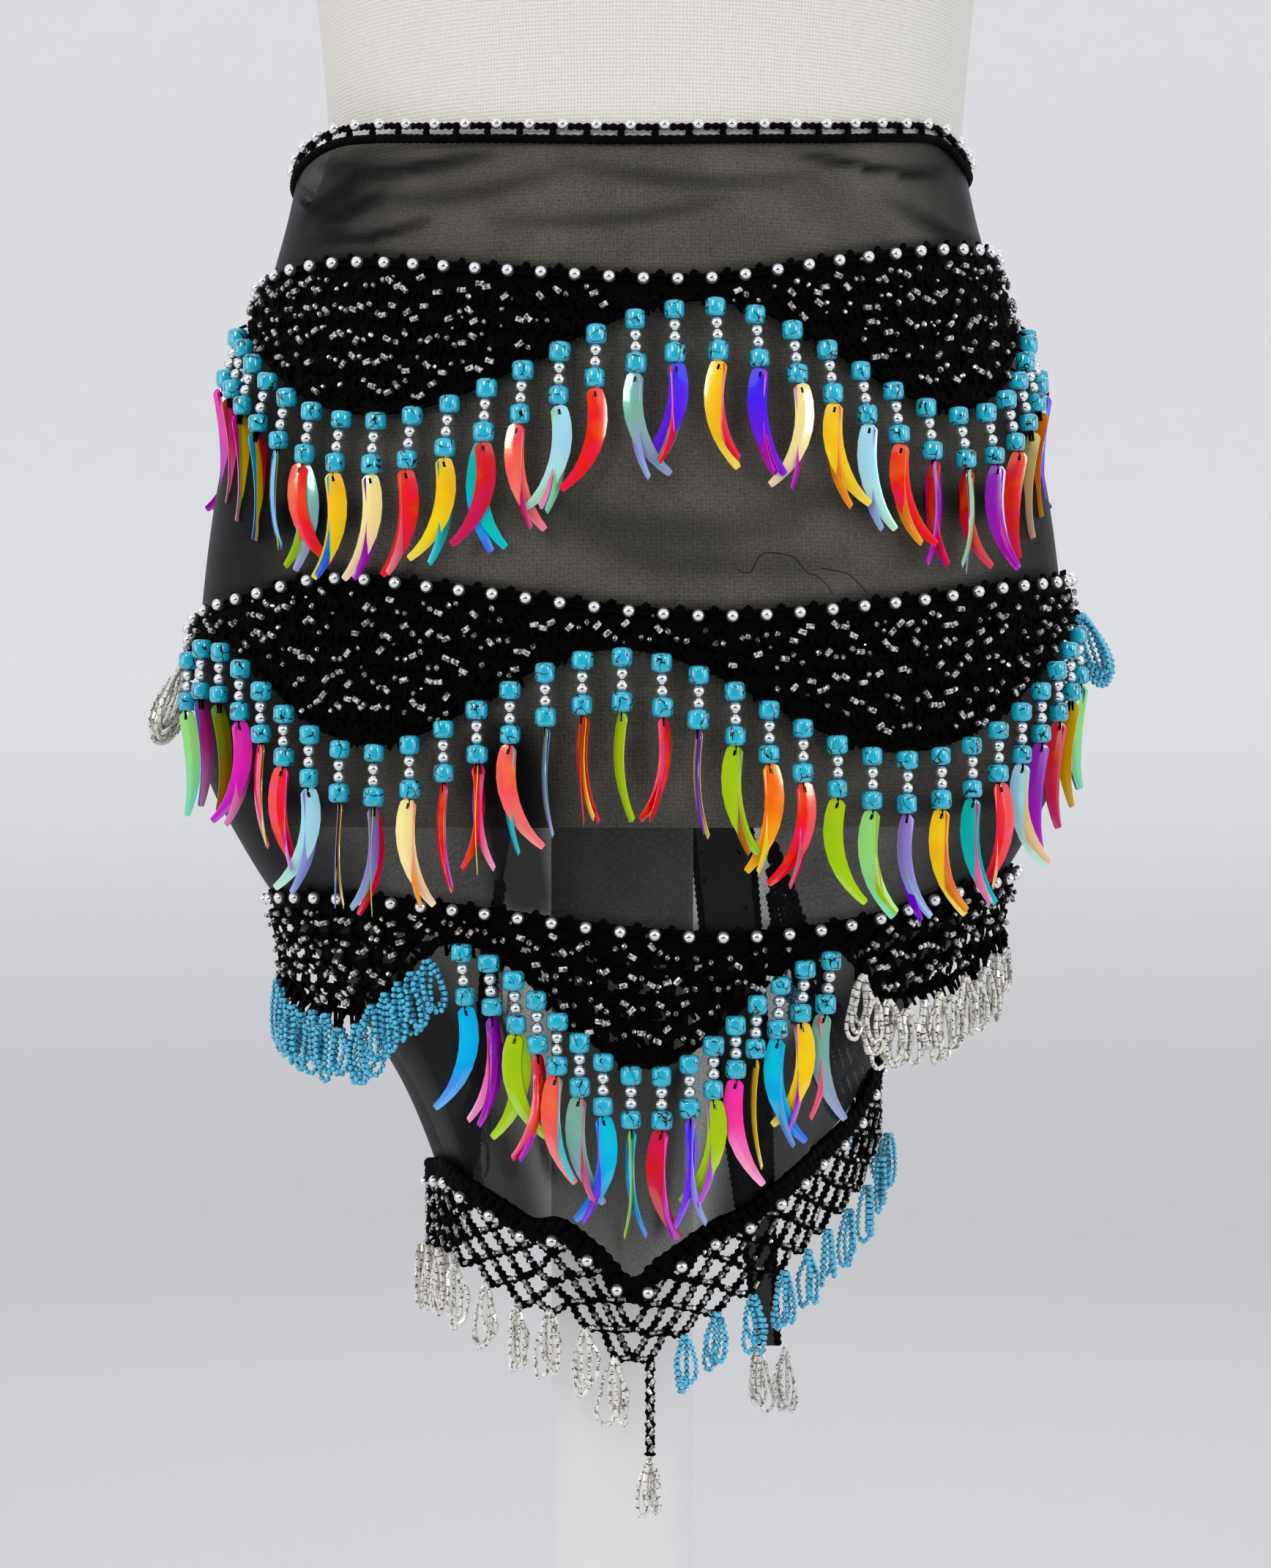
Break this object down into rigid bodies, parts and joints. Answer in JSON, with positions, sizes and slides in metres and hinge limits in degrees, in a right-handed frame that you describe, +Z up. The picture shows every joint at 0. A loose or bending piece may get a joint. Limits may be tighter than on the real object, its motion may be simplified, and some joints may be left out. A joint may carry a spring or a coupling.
{
  "type": "belly dance hip belt on dress form",
  "caption": "Sheer triangular hip scarf with crochet bands, beaded dangles and bead loops, worn by a limbless dress form on a round base.",
  "frame": {"origin": "middle of the underside of the stand's round base", "axes": "+Z up along the post, -Y towards the front of the belt, +X to the right as seen from the front"},
  "size_m": [0.42, 0.42, 1.532],
  "materials": {
    "chiffon": "sheer crinkled black chiffon",
    "crochet": "matte black crochet yarn with silver-lined glass beads",
    "dangles": "turquoise barrel beads, silver round beads and pearly moon sequins",
    "clear_beads": "silver-lined clear bugle beads",
    "blue_beads": "transparent aqua seed beads",
    "linen": "off-white woven linen",
    "painted_white": "satin white paint"
  },
  "bodies": {
    "root": {"form_base": "painted_white", "form_post": "painted_white", "form_torso": "linen", "chiffon_panel": "chiffon", "waist_edging": "crochet", "lace_row_1": "crochet", "lace_row_2": "crochet", "lace_row_3": "crochet", "dangles_row_1": "dangles", "dangles_row_2": "dangles", "dangles_row_3": "dangles", "loops_row_2_left": "clear_beads", "loops_row_2_right": "blue_beads", "loops_row_3_left": "blue_beads", "loops_row_3_right": "clear_beads", "hem_net_left": "crochet", "hem_net_right": "crochet", "hem_loops_left": "clear_beads", "hem_loops_right": "blue_beads", "knot": "chiffon", "tail_left": "chiffon", "tail_right": "chiffon", "tail_loops_left": "clear_beads", "tail_loops_right": "clear_beads"}
  },
  "joints": []
}
